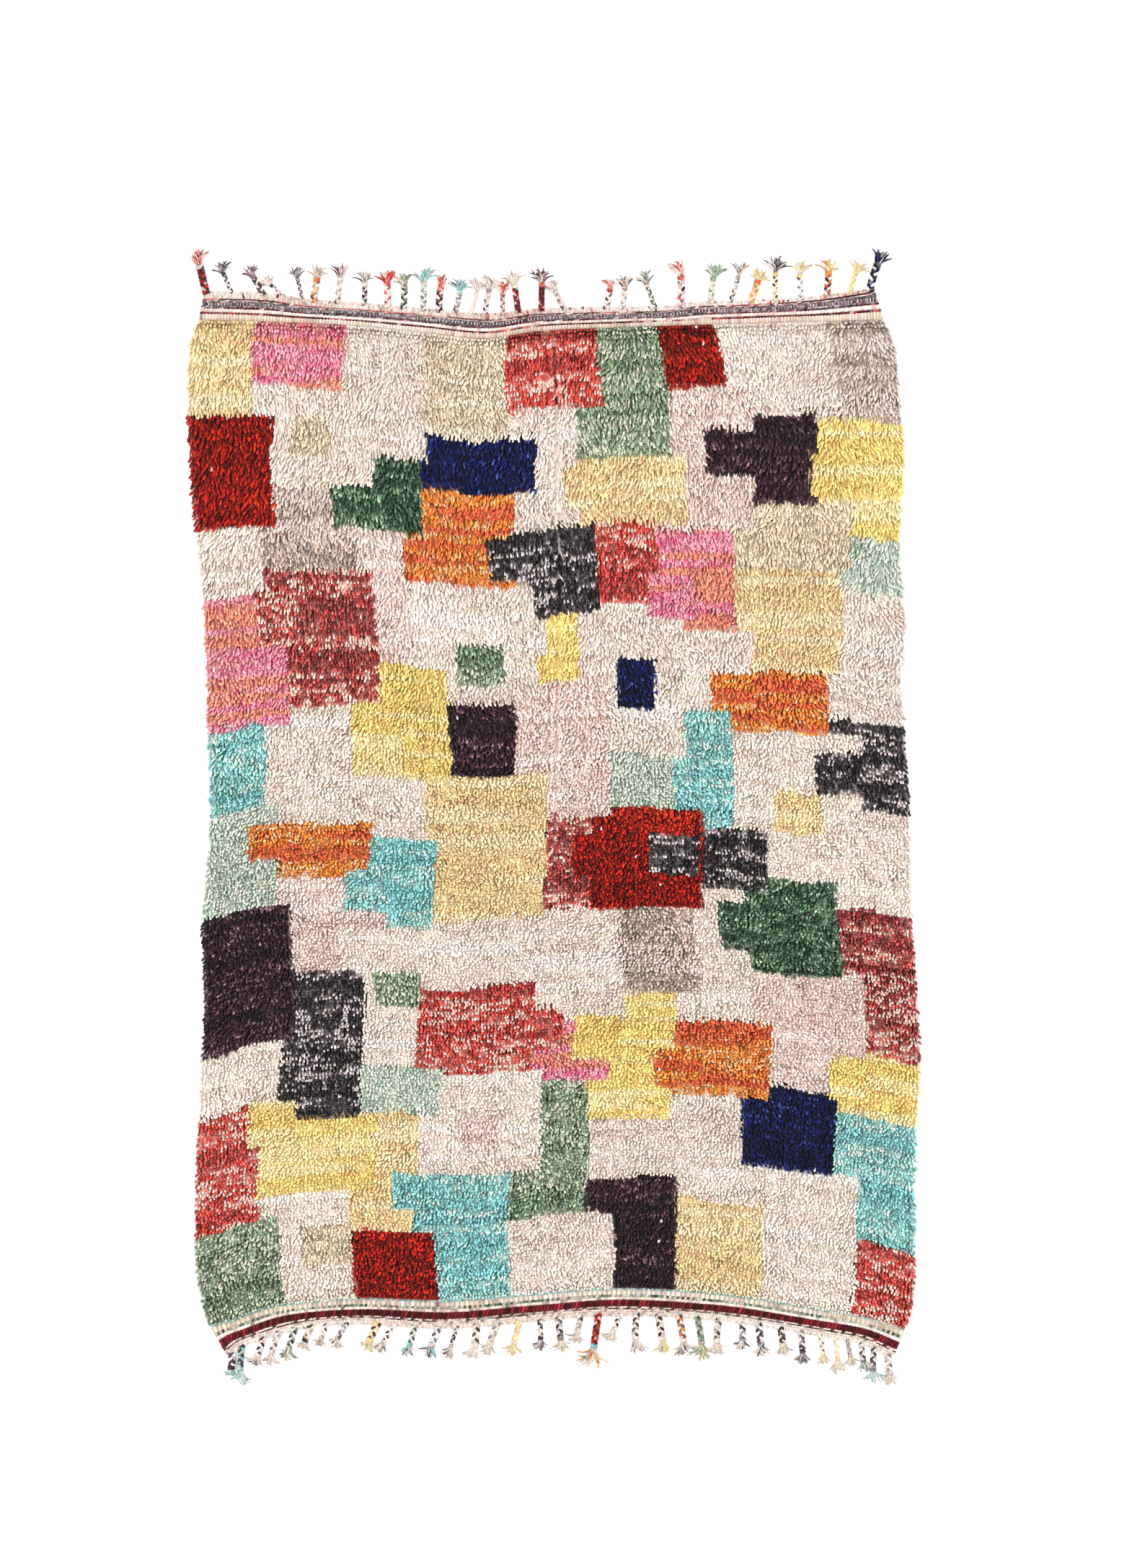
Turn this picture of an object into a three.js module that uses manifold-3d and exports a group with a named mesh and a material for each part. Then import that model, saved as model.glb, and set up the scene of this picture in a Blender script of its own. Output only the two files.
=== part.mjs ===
// A hand-knotted Berber wool rug lying flat: a lumpy cut-pile field, a flat-woven band with raised
// rows at each end, and the warp ends beyond each band, plaited, knotted and left to fan out.
// Millimetres, +Z up, +Y towards the end with the blue and white rows. The origin is the middle
// of the whole rug, fringe included, on the floor.
import * as THREE from "three";
import Module from "manifold-3d";

const wasm = await Module();
wasm.setup();

// Driving dimensions
const PILE_HEIGHT = 18;
const PILE_RIM_HEIGHT = 8;
const RIM_SLOPES = [
  { inward: 7, height: 14 },
  { inward: 19, height: 18 },
];
const LUMP_RISE = 1.5;
const LUMP_LENGTH = 62;
const BAND_THICKNESS = 3.5;
const STRIP_THICKNESS = 5;
const SEAM_GAP = 0.3;

// The rug's warped outline: hand-woven cloth that is neither straight nor square. Each edge is a
// smooth line through a few places, in mm from the middle of the pile.
const PILE_TOP_EDGE = [
  [-739.5, 1033.5], [-627, 1030.5], [-402, 1020], [-282, 1008], [-147, 994.5],
  [-42, 1008], [48, 1014], [318, 1023], [685.5, 1033.5],
];
const PILE_BOTTOM_EDGE = [
  [-717, -1056], [-669, -1044], [-601, -1018.5], [-522, -1008], [-402, -999], [-226, -1003.5],
  [-42, -990], [138, -978], [348, -990], [487, -1011], [643, -1038], [730.5, -1062],
];
const PILE_LEFT_EDGE = [
  [-717, -1056], [-733, -1000], [-745, -915], [-739, -615], [-725, -390], [-732, -240],
  [-717, -15], [-727, 435], [-756, 735], [-759, 960], [-752, 1000], [-739.5, 1033.5],
];
const PILE_RIGHT_EDGE = [
  [730.5, -1062], [748, -990], [749, -765], [759, -465], [741, -165], [736, 60],
  [721, 285], [729, 360], [717, 585], [726, 735], [708, 960], [685.5, 1033.5],
];
const BAND_TOP_EDGE = [
  [-730.5, 1077], [-600, 1074], [-519, 1062], [-403, 1054.5], [-237, 1041], [-130, 1033.5],
  [-42, 1044], [87, 1048.5], [229, 1051.5], [303, 1061], [384, 1063.5], [544, 1074], [667.5, 1092],
];
const BAND_BOTTOM_EDGE = [
  [-681, -1119], [-657, -1096.5], [-585, -1070], [-508, -1051.5], [-402, -1045.5], [-226, -1054],
  [-42, -1039.5], [97, -1028], [253, -1031], [411, -1047], [565, -1073], [643, -1087.5], [708, -1119],
];

// A soft fold runs down the pile from the top edge and fades out below the middle.
const CREASE = { x: -8, sway: 9, halfWidth: 17, depth: 4.5, shoulder: 1.8, endsAt: -620, fadesOver: 420 };

// Rows of each end band, from the pile outwards, and how far each stands above the ground weave
const TOP_BAND_ROWS = [
  { row: "cream", wide: 10, rise: 1.2 },
  { row: "red", wide: 3.6, rise: 0.8 },
  { row: "white", wide: 6.7, rise: 1.3 },
  { row: "blue_1", wide: 6.3, rise: 1.1 },
  { row: "blue_2", wide: 6.3, rise: 1.1 },
  { row: "blue_3", wide: 6.3, rise: 1.1 },
  { row: "outer_red", wide: 3, rise: 0.8 },
];
const BOTTOM_BAND_ROWS = [
  { row: "turquoise", wide: 7, rise: 0.9 },
  { row: "cream", wide: 10.8, rise: 1.3 },
  { row: "green", wide: 4.8, rise: 0.8 },
  { row: "inner_cream", wide: 5, rise: 1.1 },
  { row: "maroon", wide: 13, rise: 2.4 },
  { row: "white", wide: 4, rise: 1 },
  { row: "black", wide: 2.4, rise: 0.6 },
];
const WIDE_ROW = 8;

// The warp-end strip that carries the plaits at each end, which narrows along its edge
const TOP_STRIP = { left: 18, right: 9 };
const BOTTOM_STRIP = { left: 11, right: 11 };

// Plaits: place along the edge, length, lean in degrees (positive to the right) and stoutness
const TOP_PLAITS = [
  [-724, 85, -13, 1.25], [-670, 65, -22, 0.75], [-606, 62, -29, 1], [-563, 54, -50, 0.65],
  [-526, 67, -15, 0.65],
  [-502, 70, 9, 1.15], [-452, 77, 7, 0.95], [-396, 65, 0, 0.9], [-346, 73, -2, 1.1],
  [-314, 68, 0, 1.05], [-273, 85, 0, 1], [-240, 72, 7, 1.1], [-207, 69, 9, 0.9],
  [-175, 74, 13, 0.65], [-144, 80, 12, 0.9], [-106, 64, 2, 0.8], [-73, 84, -8, 1],
  [-26, 83, 2, 1], [22, 60, -24, 0.9], [108, 58, 10, 1], [142, 65, 4, 0.95],
  [211, 76, -19, 0.8], [264, 90, -3, 1.2], [326, 78, 9, 1], [366, 84, 15, 0.75],
  [409, 67, 17, 1.1], [460, 88, 2, 0.85], [514, 75, 0, 0.95], [567, 74, 3, 1.1],
  [616, 68, 19, 0.8], [657, 83, 19, 1.25],
];
const BOTTOM_PLAITS = [
  [-674, 42, -5, 1.2], [-652, 75, -2, 1.05], [-607, 58, -19, 1.05], [-574, 64, -17, 1],
  [-541, 63, -16, 1.05], [-505, 50, -20, 1.1], [-475, 44, -22, 0.85], [-431, 54, -33, 0.9],
  [-367, 58, -24, 1.2], [-333, 62, -27, 0.9], [-290, 60, -16, 1], [-240, 62, -22, 1.1],
  [-202, 65, -17, 0.7], [-162, 65, -9, 1.2], [-118, 66, -19, 1.1], [-73, 70, -16, 1],
  [-30, 60, 1, 0.9], [8, 67, 6, 1.1], [54, 54, -14, 1], [92, 105, -8, 1.15],
  [138, 57, -24, 0.9], [172, 76, -1, 1.1], [217, 76, 10, 1.15], [260, 80, 7, 1.1],
  [298, 84, 6, 1.05], [343, 70, -3, 1.1], [392, 52, -3, 0.95], [426, 62, 7, 1],
  [472, 53, 8, 1.05], [514, 62, 5, 0.95], [555, 57, 7, 0.85], [585, 70, 4, 0.85],
  [611, 52, 10, 0.75], [640, 56, 8, 0.85], [668, 70, 0, 0.95], [696, 58, 5, 1.1],
];
// Sections along a plait of stoutness 1: share of its length, width and height
const PLAIT_SECTIONS = [
  { share: 0, wide: 11, high: 8 },
  { share: 0.5, wide: 11.5, high: 9 },
  { share: 0.62, wide: 15.5, high: 12 },
  { share: 0.7, wide: 9.5, high: 8.5 },
  { share: 0.9, wide: 20, high: 8 },
  { share: 1, wide: 13, high: 3 },
];
const PLAIT_TOP_SHARE = 0.55;
const PLAIT_ROOT_DEPTH = 4.5;
const TASSEL_LOCK = { from: 0.7, to: 0.97, spread: 27, wide: 6.5, high: 6, tip: 0.35 };

// Locks of pile that hang over the two long sides
const RIM_LOCKS_EACH_SIDE = 50;
const RIM_LOCK = { wide: 21, low: 1.5, high: 13, buried: 5, reach: 7, reachSpread: 3 };

// A number from 0 to 1 that looks random and is the same each time
function scatter(i, j = 0) {
  const s = Math.sin(i * 127.1 + j * 311.7 + 11.3) * 43758.5453;
  return s - Math.floor(s);
}

// A smooth line through places listed in order of one coordinate: axis 0 for x, 1 for y.
// It takes a share of the way from the first place to the last.
function edgeThrough(places, axis) {
  const other = 1 - axis;
  const at = places.map((p) => p[axis]);
  const value = places.map((p) => p[other]);
  const last = places.length - 1;
  const slope = places.map((_, i) => {
    const a = Math.max(i - 1, 0);
    const b = Math.min(i + 1, last);
    return (value[b] - value[a]) / (at[b] - at[a]);
  });
  return (share) => {
    const here = at[0] + share * (at[last] - at[0]);
    let i = 0;
    while (i < last - 1 && here > at[i + 1]) i += 1;
    const span = at[i + 1] - at[i];
    const t = (here - at[i]) / span;
    const t2 = t * t;
    const t3 = t2 * t;
    const found =
      (2 * t3 - 3 * t2 + 1) * value[i] +
      (t3 - 2 * t2 + t) * span * slope[i] +
      (3 * t2 - 2 * t3) * value[i + 1] +
      (t3 - t2) * span * slope[i + 1];
    return axis === 0 ? [here, found] : [found, here];
  };
}

const pileTop = edgeThrough(PILE_TOP_EDGE, 0);
const pileBottom = edgeThrough(PILE_BOTTOM_EDGE, 0);
const pileLeft = edgeThrough(PILE_LEFT_EDGE, 1);
const pileRight = edgeThrough(PILE_RIGHT_EDGE, 1);
const bandTop = edgeThrough(BAND_TOP_EDGE, 0);
const bandBottom = edgeThrough(BAND_BOTTOM_EDGE, 0);

// The place in the pile field at share u across and share v along, as warp and weft run
function pilePlace(u, v) {
  const [b, t, l, r] = [pileBottom(u), pileTop(u), pileLeft(v), pileRight(v)];
  const corners = [pileBottom(0), pileBottom(1), pileTop(0), pileTop(1)];
  return [0, 1].map((k) => {
    const ruled = (1 - v) * b[k] + v * t[k] + (1 - u) * l[k] + u * r[k];
    const twisted =
      (1 - v) * ((1 - u) * corners[0][k] + u * corners[1][k]) +
      v * ((1 - u) * corners[2][k] + u * corners[3][k]);
    return ruled - twisted;
  });
}

// How the fold changes the pile's height: a trough between two low shoulders
function creaseRise(x, y) {
  const line = CREASE.x + CREASE.sway * Math.sin(y / 310);
  const away = (x - line) / CREASE.halfWidth;
  const strength = THREE.MathUtils.smoothstep(y, CREASE.endsAt, CREASE.endsAt + CREASE.fadesOver);
  const trough = -CREASE.depth * Math.exp(-away * away);
  const shoulder = CREASE.shoulder * Math.exp(-((Math.abs(away) - 2) ** 2));
  return strength * (trough + shoulder);
}

function lumpRise(x, y) {
  const wave = Math.sin(x / 47 + 1.3 * Math.sin(y / 71)) * Math.cos(y / 39 + 1.1 * Math.sin(x / 83));
  return LUMP_RISE * wave;
}

// One closed solid of vertices and triangles, turned to face outwards
function solidOf(vertices, triangles) {
  const make = (triVerts) =>
    new wasm.Manifold(
      new wasm.Mesh({
        numProp: 3,
        vertProperties: new Float32Array(vertices.flat()),
        triVerts: new Uint32Array(triVerts),
      }),
    );
  const made = make(triangles.flat());
  return made.volume() > 0 ? made : make(triangles.flatMap(([a, b, c]) => [a, c, b]));
}

// A solid through rings of equally many points, closed by the same flat cap at both ends
function loft(rings, cap) {
  const n = rings[0].length;
  const triangles = [];
  for (let i = 0; i + 1 < rings.length; i += 1)
    for (let j = 0; j < n; j += 1) {
      const [a, b] = [i * n + j, i * n + ((j + 1) % n)];
      triangles.push([a, b, b + n], [a, b + n, a + n]);
    }
  const end = (rings.length - 1) * n;
  for (const [a, b, c] of cap) triangles.push([a, c, b], [end + a, end + b, end + c]);
  return solidOf(rings.flat(), triangles);
}

function capOf(section) {
  return THREE.ShapeUtils.triangulateShape(section.map(([a, b]) => new THREE.Vector2(a, b)), []);
}

// Shares across the field: close together on the rim's slope, then one for each lump
function sharesOver(length) {
  const rim = RIM_SLOPES.map((s) => s.inward / length);
  const count = Math.round((length - 2 * RIM_SLOPES.at(-1).inward) / LUMP_LENGTH);
  const first = rim.at(-1);
  const inner = [];
  for (let i = 1; i < count; i += 1) inner.push(first + ((1 - 2 * first) * i) / count);
  return [0, ...rim, ...inner, ...rim.map((s) => 1 - s).reverse(), 1];
}

const FIELD_WIDTH = 1470;
const FIELD_LENGTH = 2030;
const acrossShares = sharesOver(FIELD_WIDTH);
const alongShares = sharesOver(FIELD_LENGTH);

// Height of the pile at a grid place, from how many steps it lies in from the rim
function pileHeight(i, j, x, y) {
  const steps = Math.min(i, j, acrossShares.length - 1 - i, alongShares.length - 1 - j);
  if (steps === 0) return PILE_RIM_HEIGHT + 2 * scatter(i, j);
  if (steps === 1) return RIM_SLOPES[0].height + scatter(i, j);
  const base = PILE_HEIGHT + lumpRise(x, y) + creaseRise(x, y);
  return base + 1.2 * (scatter(i, j) - 0.5);
}

function rimLocks() {
  const locks = [];
  for (const u of [0, 1])
    for (let k = 0; k < RIM_LOCKS_EACH_SIDE; k += 1) {
      const v = (k + 0.5 + 0.3 * (scatter(k, u) - 0.5)) / RIM_LOCKS_EACH_SIDE;
      const [x, y] = pilePlace(u, v);
      const out = u === 0 ? -1 : 1;
      const reach = RIM_LOCK.reach + RIM_LOCK.reachSpread * (scatter(k, 7 + u) - 0.5);
      const inner = x - out * RIM_LOCK.buried;
      const half = RIM_LOCK.wide / 2;
      const vertices = [
        [inner, y - half, RIM_LOCK.low],
        [inner, y + half, RIM_LOCK.low],
        [inner, y, RIM_LOCK.high],
        [x + out * reach, y + 4 * (scatter(k, 3) - 0.5), RIM_LOCK.low + 1],
      ];
      locks.push(solidOf(vertices, [[0, 1, 2], [0, 3, 1], [1, 3, 2], [2, 3, 0]]));
    }
  return locks;
}

function makePileField() {
  const [nu, nv] = [acrossShares.length, alongShares.length];
  const vertices = [];
  for (let j = 0; j < nv; j += 1)
    for (let i = 0; i < nu; i += 1) {
      const [x, y] = pilePlace(acrossShares[i], alongShares[j]);
      vertices.push([x, y, pileHeight(i, j, x, y)]);
    }
  const triangles = [];
  for (let j = 0; j + 1 < nv; j += 1)
    for (let i = 0; i + 1 < nu; i += 1) {
      const a = j * nu + i;
      triangles.push([a, a + 1, a + nu + 1], [a, a + nu + 1, a + nu]);
    }
  // The rim, anticlockwise from the corner at u 0, v 0
  const rim = [];
  for (let i = 0; i < nu; i += 1) rim.push(i);
  for (let j = 1; j < nv; j += 1) rim.push(j * nu + nu - 1);
  for (let i = nu - 2; i >= 0; i -= 1) rim.push((nv - 1) * nu + i);
  for (let j = nv - 2; j > 0; j -= 1) rim.push(j * nu);
  const floor = vertices.length;
  for (const top of rim) vertices.push([vertices[top][0], vertices[top][1], 0]);
  rim.forEach((top, k) => {
    const next = (k + 1) % rim.length;
    triangles.push([top, floor + k, floor + next], [top, floor + next, rim[next]]);
  });
  for (const [a, b, c] of capOf(rim.map((top) => vertices[top])))
    triangles.push([floor + a, floor + c, floor + b]);
  return wasm.Manifold.union([solidOf(vertices, triangles), ...rimLocks()]);
}

// A band's section: its share of the way out from the pile, and height, with a crest for each row
function bandSection(rows) {
  const whole = rows.reduce((sum, r) => sum + r.wide, 0);
  const top = [[0, BAND_THICKNESS]];
  let from = 0;
  for (const { wide, rise } of rows) {
    const crests = wide > WIDE_ROW ? [0.22, 0.78] : [0.5];
    for (const c of crests) top.push([(from + c * wide) / whole, BAND_THICKNESS + rise]);
    from += wide;
    top.push([from / whole, BAND_THICKNESS]);
  }
  return [[0, 0], [1, 0], ...top.reverse()];
}

function makeBand(inner, outer, rows) {
  const section = bandSection(rows);
  const rings = acrossShares.map((u) => {
    const from = new THREE.Vector2(...inner(u));
    const to = new THREE.Vector2(...outer(u));
    const away = to.clone().sub(from).setLength(SEAM_GAP);
    from.add(away);
    return section.map(([share, z]) => {
      const p = from.clone().lerp(to, share);
      return [p.x, p.y, z];
    });
  });
  return loft(rings, capOf(section));
}

// Unit vector square to an edge at share u, on the side that side (1 or -1 along y) gives
function outwards(edge, u, side) {
  const [a, b] = [edge(Math.max(u - 0.01, 0)), edge(Math.min(u + 0.01, 1))];
  const along = new THREE.Vector2(b[0] - a[0], b[1] - a[1]).normalize();
  return new THREE.Vector2(-along.y, along.x).multiplyScalar(side);
}

function stripPlace(edge, u, side, distance) {
  const out = outwards(edge, u, side);
  const [x, y] = edge(u);
  return new THREE.Vector2(x, y).addScaledVector(out, distance);
}

function makeStrip(edge, side, strip) {
  const rings = acrossShares.map((u) => {
    const wide = THREE.MathUtils.lerp(strip.left, strip.right, u);
    const section = [
      [SEAM_GAP, 0], [wide, 0], [wide - 1, STRIP_THICKNESS - 1], [SEAM_GAP + 1.5, STRIP_THICKNESS],
    ];
    return section.map(([distance, z]) => {
      const p = stripPlace(edge, u, side, distance);
      return [p.x, p.y, z];
    });
  });
  return loft(rings, [[0, 1, 2], [0, 2, 3]]);
}

// A four-sided ring that lies flat on the floor, square to the way it goes
function flatRing(place, along, wide, high) {
  const sideways = new THREE.Vector2(along.y, -along.x);
  return [
    [-wide / 2, 0], [wide / 2, 0], [(PLAIT_TOP_SHARE * wide) / 2, high], [(-PLAIT_TOP_SHARE * wide) / 2, high],
  ].map(([across, z]) => [place.x + across * sideways.x, place.y + across * sideways.y, z]);
}

function headingOf(lean, side) {
  const angle = THREE.MathUtils.degToRad(lean);
  return new THREE.Vector2(Math.sin(angle), side * Math.cos(angle));
}

// A plait with its knot and fanned end, and a lock parted from the fan on each side
function makePlait(edge, side, strip, [at, long, lean, stout], index) {
  const [start, end] = [edge(0)[0], edge(1)[0]];
  const u = THREE.MathUtils.clamp((at - start) / (end - start), 0, 1);
  const wide = THREE.MathUtils.lerp(strip.left, strip.right, u);
  const root = stripPlace(edge, u, side, wide - PLAIT_ROOT_DEPTH);
  const bow = 0.09 * long * (scatter(index, side + 5) - 0.5);
  const heading = headingOf(lean, side);
  const sideways = new THREE.Vector2(heading.y, -heading.x);
  const reach = long + PLAIT_ROOT_DEPTH;
  const placeAt = (share) =>
    root
      .clone()
      .addScaledVector(heading, share * reach)
      .addScaledVector(sideways, bow * Math.sin(Math.PI * share));
  const rings = PLAIT_SECTIONS.map(({ share, wide, high }) =>
    flatRing(placeAt(share), heading, wide * stout, high * stout),
  );
  const strands = [loft(rings, [[0, 1, 2], [0, 2, 3]])];
  for (const turn of [-1, 1]) {
    const way = headingOf(lean + turn * side * TASSEL_LOCK.spread, side);
    const from = placeAt(TASSEL_LOCK.from);
    const length = (TASSEL_LOCK.to - TASSEL_LOCK.from) * reach;
    const across = new THREE.Vector2(way.y, -way.x);
    const lockRings = [
      [0, 1],
      [0.6, 1],
      [1, TASSEL_LOCK.tip],
    ].map(([share, size]) => {
      const p = from.clone().addScaledVector(way, share * length);
      const half = (TASSEL_LOCK.wide * stout * size) / 2;
      return [
        [p.x - half * across.x, p.y - half * across.y, 0],
        [p.x + half * across.x, p.y + half * across.y, 0],
        [p.x, p.y, TASSEL_LOCK.high * stout * size],
      ];
    });
    strands.push(loft(lockRings, [[0, 1, 2]]));
  }
  return strands;
}

function makeFringe(edge, side, strip, plaits) {
  const strands = plaits.flatMap((plait, i) => makePlait(edge, side, strip, plait, i));
  return wasm.Manifold.union([makeStrip(edge, side, strip), ...strands]);
}

function meshOf(name, solid, colour, roughness) {
  const { vertProperties, triVerts } = solid.getMesh();
  const geometry = new THREE.BufferGeometry();
  geometry.setAttribute("position", new THREE.BufferAttribute(vertProperties, 3));
  geometry.setIndex(new THREE.BufferAttribute(triVerts, 1));
  geometry.computeVertexNormals();
  const material = new THREE.MeshStandardMaterial({ color: colour, roughness, metalness: 0 });
  const mesh = new THREE.Mesh(geometry, material);
  mesh.name = name;
  return mesh;
}

const rug = new THREE.Group();
rug.add(
  meshOf("pile_field", makePileField(), 0xe6d3c4, 0.95),
  meshOf("end_band_top", makeBand(pileTop, bandTop, TOP_BAND_ROWS), 0x6a5e70, 0.9),
  meshOf("end_band_bottom", makeBand(pileBottom, bandBottom, BOTTOM_BAND_ROWS), 0x7d2f35, 0.9),
  meshOf("fringe_top", makeFringe(bandTop, 1, TOP_STRIP, TOP_PLAITS), 0xeed2c4, 0.9),
  meshOf("fringe_bottom", makeFringe(bandBottom, -1, BOTTOM_STRIP, BOTTOM_PLAITS), 0xe9dccb, 0.9),
);

// The whole rug, fringe included, is centred on the origin
const extent = new THREE.Box3().setFromObject(rug);
const middle = extent.getCenter(new THREE.Vector3());
rug.position.set(-middle.x, -middle.y, 0);

const part = new THREE.Group();
part.add(rug);

export default part;
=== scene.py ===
"""The looks of a hand-knotted wool rug that lies flat on a pale floor.

The pile is planted knot by knot on a ground cloth, in blocks of many yarns. Both ends have a
flat-woven band in rows of stitches, and warp ends plaited, knotted and left to fan out.
Shapes are worked out in millimetres, with the same outline as the rug's solids, and are made
into meshes in metres.
"""

import math

import bpy
import numpy as np
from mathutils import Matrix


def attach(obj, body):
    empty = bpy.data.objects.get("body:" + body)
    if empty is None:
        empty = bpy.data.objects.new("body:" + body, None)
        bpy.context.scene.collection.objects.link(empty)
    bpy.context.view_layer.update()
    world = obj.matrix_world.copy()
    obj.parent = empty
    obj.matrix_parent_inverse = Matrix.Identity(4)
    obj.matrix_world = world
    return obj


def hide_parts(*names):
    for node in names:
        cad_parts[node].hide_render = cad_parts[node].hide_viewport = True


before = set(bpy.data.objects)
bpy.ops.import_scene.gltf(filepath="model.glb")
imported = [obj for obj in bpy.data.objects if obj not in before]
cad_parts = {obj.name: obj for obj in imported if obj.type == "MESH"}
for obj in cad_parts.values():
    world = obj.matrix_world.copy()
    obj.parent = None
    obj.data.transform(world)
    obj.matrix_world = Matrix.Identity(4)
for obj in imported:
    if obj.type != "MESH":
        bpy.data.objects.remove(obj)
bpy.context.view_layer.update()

# The rug's sizes in millimetres, with the same outline as its solids

OUTLINE_SHIFT = (-0.0969, 0.6039)
SEAM_GAP = 0.3

PILE_TOP_EDGE = [
    (-739.5, 1033.5), (-627, 1030.5), (-402, 1020), (-282, 1008), (-147, 994.5),
    (-42, 1008), (48, 1014), (318, 1023), (685.5, 1033.5),
]
PILE_BOTTOM_EDGE = [
    (-717, -1056), (-669, -1044), (-601, -1018.5), (-522, -1008), (-402, -999), (-226, -1003.5),
    (-42, -990), (138, -978), (348, -990), (487, -1011), (643, -1038), (730.5, -1062),
]
PILE_LEFT_EDGE = [
    (-717, -1056), (-733, -1000), (-745, -915), (-739, -615), (-725, -390), (-732, -240),
    (-717, -15), (-727, 435), (-756, 735), (-759, 960), (-752, 1000), (-739.5, 1033.5),
]
PILE_RIGHT_EDGE = [
    (730.5, -1062), (748, -990), (749, -765), (759, -465), (741, -165), (736, 60),
    (721, 285), (729, 360), (717, 585), (726, 735), (708, 960), (685.5, 1033.5),
]
BAND_TOP_EDGE = [
    (-730.5, 1077), (-600, 1074), (-519, 1062), (-403, 1054.5), (-237, 1041), (-130, 1033.5),
    (-42, 1044), (87, 1048.5), (229, 1051.5), (303, 1061), (384, 1063.5), (544, 1074),
    (667.5, 1092),
]
BAND_BOTTOM_EDGE = [
    (-681, -1119), (-657, -1096.5), (-585, -1070), (-508, -1051.5), (-402, -1045.5),
    (-226, -1054), (-42, -1039.5), (97, -1028), (253, -1031), (411, -1047), (565, -1073),
    (643, -1087.5), (708, -1119),
]
TOP_STRIP = (18, 9)
BOTTOM_STRIP = (11, 11)
CREASE = dict(x=-8, sway=9, half_width=17, depth=4.5, ends_at=-620, fades_over=420)

FIELD_WIDTH = 1470
FIELD_LENGTH = 2030
# The pile is rounded off this near to the field's sides and ends
SIDE_RIM = 24
END_RIM = 20
# A tuft's straight axis is cut at this height, and its thickness and bend may go a little higher
PILE_LIMIT = 20.4
KNOTS_ACROSS = 212
KNOTS_ALONG = 336
GROUND_HEIGHT = 9.5
# The tufts' length, radius and lean in degrees, and what the combed upper half adds to them
TUFT_LENGTH, TUFT_RADIUS, TUFT_LEAN = (11.0, 4.8), (3.7, -0.3), (37, 22)
# How far tufts swirl, in degrees: together over long and short distances, and each by itself
FAR_SWIRL, NEAR_SWIRL, OWN_SWIRL = (34, 70), (26, 23), 32
GROUND_CELLS = (84, 116)
GROUND_INSET = (4.5, 0.3)
UNDERSIDE = 0.25
TUFT_PIECES = 4


def table_rows(text):
    """Rows of numbers and names: one to a line, or parted by commas."""
    rows = [row.split() for row in text.replace(",", "\n").split("\n") if row.strip()]
    return [[word if word.isalpha() else float(word) for word in row] for row in rows]


# Yarns: main colour, the colour flecked into it and how often, and the colour of the rows that
# break it up and how often. Colours are sRGB, 0 to 255.
YARNS = {
    "cream": ((245, 230, 217), (226, 204, 190), 0.35, (248, 238, 230), 0.2),
    "rose": ((243, 221, 211), (224, 188, 177), 0.35, (248, 232, 224), 0.2),
    "sand": ((236, 217, 190), (206, 188, 160), 0.4, (240, 227, 206), 0.25),
    "taupe": ((218, 195, 182), (170, 153, 143), 0.4, (228, 210, 200), 0.3),
    "pale": ((246, 216, 164), (234, 193, 144), 0.3, (248, 228, 190), 0.3),
    "gold": ((251, 220, 138), (245, 200, 120), 0.3, (252, 231, 180), 0.3),
    "flame": ((253, 140, 50), (251, 202, 150), 0.34, (244, 100, 58), 0.3),
    "blossom": ((253, 166, 180), (246, 100, 144), 0.3, (251, 158, 126), 0.28),
    "coral": ((228, 70, 55), (250, 212, 200), 0.44, (198, 47, 40), 0.25),
    "rust": ((180, 31, 14), (128, 14, 8), 0.28, (204, 50, 26), 0.22),
    "brick": ((192, 64, 58), (248, 214, 200), 0.46, (160, 42, 43), 0.28),
    "aubergine": ((64, 37, 45), (118, 88, 97), 0.32, (44, 24, 33), 0.3),
    "charcoal": ((35, 28, 31), (220, 204, 204), 0.45, (27, 21, 24), 0.3),
    "sage": ((148, 168, 139), (214, 212, 193), 0.36, (126, 150, 119), 0.25),
    "green": ((77, 110, 84), (158, 178, 148), 0.34, (62, 94, 71), 0.28),
    "mint": ((190, 206, 191), (226, 223, 209), 0.38, (208, 215, 201), 0.28),
    "turquoise": ((150, 210, 206), (216, 230, 220), 0.36, (130, 196, 196), 0.3),
    "navy": ((5, 14, 74), (48, 66, 132), 0.26, (4, 8, 50), 0.24),
    "slate": ((121, 109, 118), (206, 192, 192), 0.36, (88, 77, 92), 0.25),
    "plum": ((120, 82, 92), (190, 162, 166), 0.28, (92, 54, 68), 0.25),
    "ash": ((138, 128, 131), (202, 188, 186), 0.3, (98, 90, 94), 0.25),
    "oxblood": ((96, 16, 26), (120, 26, 34), 0.2, (80, 12, 20), 0.3),
    "garnet": ((116, 24, 29), (100, 18, 24), 0.25, (128, 33, 36), 0.2),
    "white": ((250, 238, 230), (236, 212, 202), 0.3, (250, 243, 237), 0.2),
    "ivory": ((243, 228, 203), (228, 210, 182), 0.3, (246, 235, 216), 0.2),
}
# Yarns with a larger share of flecks are marled: their flecks and knots lie in clear rows
MARLED_ABOVE = 0.4
PALE_FLECK = (246, 236, 228)
PALE_FLECK_SHARE = 0.0012

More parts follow.
